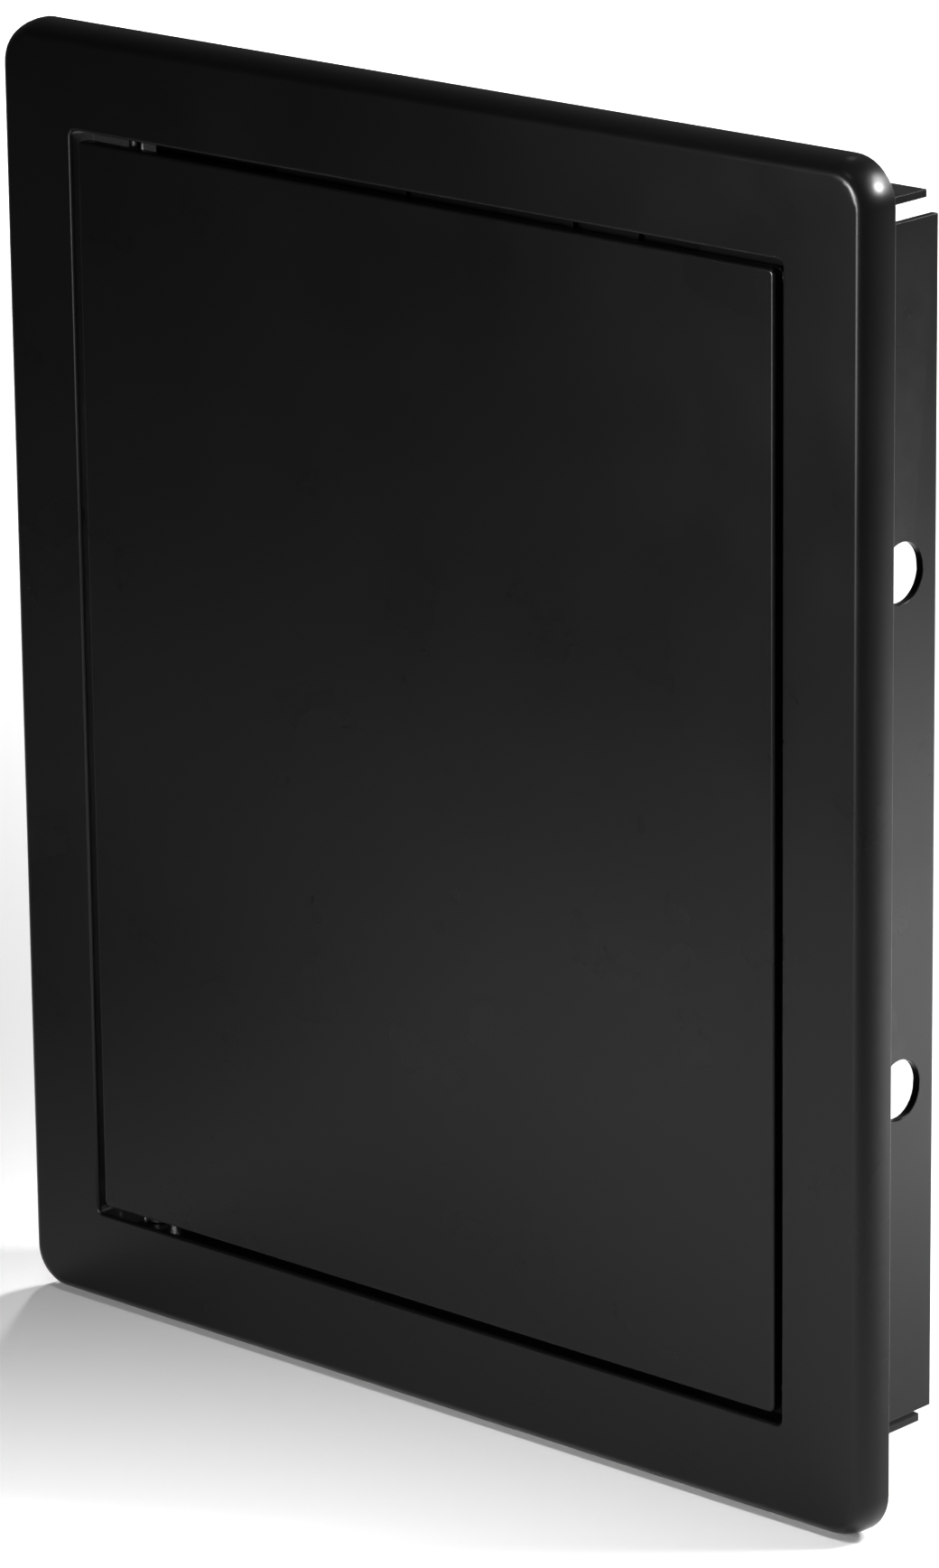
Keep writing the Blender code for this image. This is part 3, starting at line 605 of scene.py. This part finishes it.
def add_floor():
    low, high = cad_box
    mesh = bpy.data.meshes.new("floor")
    corners = [(x * FLOOR_HALF, y * FLOOR_HALF, low.z) for x, y in ((-1, -1), (1, -1), (1, 1), (-1, 1))]
    mesh.from_pydata(corners, [], [(0, 1, 2, 3)])
    floor = bpy.data.objects.new("floor", mesh)
    bpy.context.scene.collection.objects.link(floor)
    material, shader = new_material("floor", FLOOR_ROUGHNESS)
    shader.inputs["Base Color"].default_value = (*grey(FLOOR_GREY), 1.0)
    mesh.materials.append(material)


def aimed(name, light, place, aim):
    lamp = bpy.data.objects.new(name, light)
    lamp.location = place
    lamp.rotation_euler = (Vector(aim) - Vector(place)).to_track_quat("-Z", "Y").to_euler()
    lamp.visible_camera = False
    bpy.context.scene.collection.objects.link(lamp)


def add_softbox(name, place, aim, size, power, spread_angle):
    """A rectangular area light, aimed at a point; a grid in front narrows its spread."""
    light = bpy.data.lights.new(name, "AREA")
    light.shape = "RECTANGLE"
    light.size, light.size_y = size
    light.energy = power
    light.spread = radians(spread_angle)
    aimed(name, light, place, aim)


def add_spot(name, place, aim, cone, power):
    """A soft round pool of light."""
    light = bpy.data.lights.new(name, "SPOT")
    light.spot_size = radians(cone)
    light.spot_blend = 1.0
    light.shadow_soft_size = SPOT_RADIUS
    light.energy = power
    aimed(name, light, place, aim)


def light_panel():
    """A soft front light, two narrow beams that glint on the corner, and fill from the side and back."""
    add_softbox(
        "front",
        place=(-0.02, -0.76, 0.08),
        aim=(0.08, 0.0, 0.02),
        size=(0.14, 0.3),
        power=1.25,
        spread_angle=70,
    )
    add_softbox(
        "corner_front",
        place=(-0.02, -0.72, 0.27),
        aim=(0.112, 0.0, 0.136),
        size=(0.1, 0.1),
        power=0.09,
        spread_angle=14,
    )
    add_softbox(
        "corner_side",
        place=(0.65, 0.35, 0.52),
        aim=(0.118, 0.0, 0.14),
        size=(0.08, 0.2),
        power=0.3,
        spread_angle=14,
    )
    add_softbox(
        "side",
        place=(0.5, 0.45, 0.6),
        aim=(0.35, 0.3, -0.15),
        size=(0.2, 0.3),
        power=5.0,
        spread_angle=110,
    )
    add_softbox(
        "back_fill",
        place=(-0.05, 1.0, 0.32),
        aim=(0.0, 0.03, 0.0),
        size=(0.25, 0.25),
        power=1.1,
        spread_angle=20,
    )


def light_floor():
    """Pools of light on the floor in front, at the side and far behind."""
    add_spot("pool", place=(0.12, -0.3, 0.6), aim=(0.12, -0.3, -0.15), cone=60, power=31.0)
    add_spot("side_pool", place=(0.36, 0.42, 0.6), aim=(0.3, 0.34, -0.15), cone=46, power=81.0)
    add_spot("background", place=(-0.9, 1.3, 1.6), aim=(-0.9, 1.5, -0.15), cone=110, power=340.0)


def set_world():
    world = bpy.data.worlds.new("studio")
    bpy.context.scene.world = world
    world.use_nodes = True
    background = world.node_tree.nodes["Background"]
    background.inputs["Color"].default_value = (1.0, 1.0, 1.0, 1.0)
    background.inputs["Strength"].default_value = WORLD_STRENGTH
    bpy.context.scene.view_settings.view_transform = "Standard"


def add_camera():
    azimuth = radians(CAMERA_AZIMUTH)
    elevation = radians(CAMERA_ELEVATION)
    back = Vector((sin(azimuth) * cos(elevation), -cos(azimuth) * cos(elevation), sin(elevation)))
    data = bpy.data.cameras.new("camera")
    data.lens = LENS
    data.sensor_width = SENSOR
    camera = bpy.data.objects.new("camera", data)
    camera.location = Vector(CAMERA_AIM) + CAMERA_DISTANCE * back
    turn = (-back).to_track_quat("-Z", "Y").to_matrix() @ Matrix.Rotation(radians(CAMERA_ROLL), 3, "Z")
    camera.rotation_euler = turn.to_euler()
    bpy.context.scene.collection.objects.link(camera)
    bpy.context.scene.camera = camera


add_camera()

# Finishes; grain is in cycles per metre and depth in millimetres
black_abs = plastic(
    "black_abs",
    dark=grey(0.0011),
    light=grey(0.0017),
    roughness=0.29,
    specular=0.165,
    grain=1700.0,
    depth=0.006,
    wear=grey(0.008),
)
grey_abs = plastic(
    "grey_abs",
    dark=(0.026, 0.026, 0.028),
    light=(0.040, 0.040, 0.043),
    roughness=0.48,
    specular=0.45,
    grain=900.0,
    depth=0.03,
)
black_acetal = plastic(
    "black_acetal",
    dark=grey(0.003),
    light=grey(0.005),
    roughness=0.4,
    specular=0.25,
    grain=1500.0,
    depth=0.01,
)
pale_acetal = plastic(
    "pale_acetal",
    dark=(0.62, 0.61, 0.56),
    light=(0.74, 0.73, 0.68),
    roughness=0.4,
    specular=0.5,
    grain=1500.0,
    depth=0.01,
)
ferrite = plastic(
    "ferrite",
    dark=(0.02, 0.02, 0.022),
    light=(0.05, 0.05, 0.052),
    roughness=0.45,
    specular=0.7,
    grain=1300.0,
    depth=0.04,
)
blackened_steel = metal(
    "blackened_steel",
    dark=(0.018, 0.018, 0.02),
    light=(0.055, 0.055, 0.06),
    roughness=0.38,
    stretch=(1.0, 1.0, 0.04),
    grain=5000.0,
    depth=0.01,
)
spring_wire = metal(
    "spring_wire",
    dark=(0.3, 0.3, 0.31),
    light=(0.5, 0.5, 0.51),
    roughness=0.3,
    stretch=(1.0, 1.0, 1.0),
    grain=4000.0,
    depth=0.006,
)
zinc_plate = metal(
    "zinc_plate",
    dark=(0.48, 0.48, 0.5),
    light=(0.66, 0.66, 0.67),
    roughness=0.33,
    stretch=(1.0, 1.0, 0.08),
    grain=3000.0,
    depth=0.008,
)

refine("frame", black_abs, edge=0.25)
refine("door", black_abs, edge=0.2)
for level in LEVELS:
    refine(f"hinge_bush_{level}", black_acetal, edge=0.12)
    refine(f"latch_housing_{level}", grey_abs, edge=0.25)
    refine(f"latch_cover_{level}", grey_abs, edge=0.2)
    refine(f"latch_plunger_{level}", pale_acetal, edge=0.2)
    refine(f"latch_magnet_{level}", ferrite, edge=0.15)
    refine(f"strike_plate_{level}", zinc_plate, edge=0.12)
    make_latch_spring(level, spring_wire)
    make_cam_wire(level, spring_wire)
    make_screw(f"strike_screw_{level}", STRIKE_SCREW_HEAD, zinc_plate)
for number in range(1, LATCH_SCREWS + 1):
    make_screw(f"latch_screw_{number}", LATCH_SCREW_HEAD, zinc_plate)
make_bolt(blackened_steel)
refine("hinge_pin_clip", blackened_steel, edge=0.15)
refine("hinge_pin_lower", blackened_steel, edge=0.12)
make_hinge_spring(spring_wire)
make_marks(black_abs)
add_floor()
light_panel()
light_floor()
set_world()
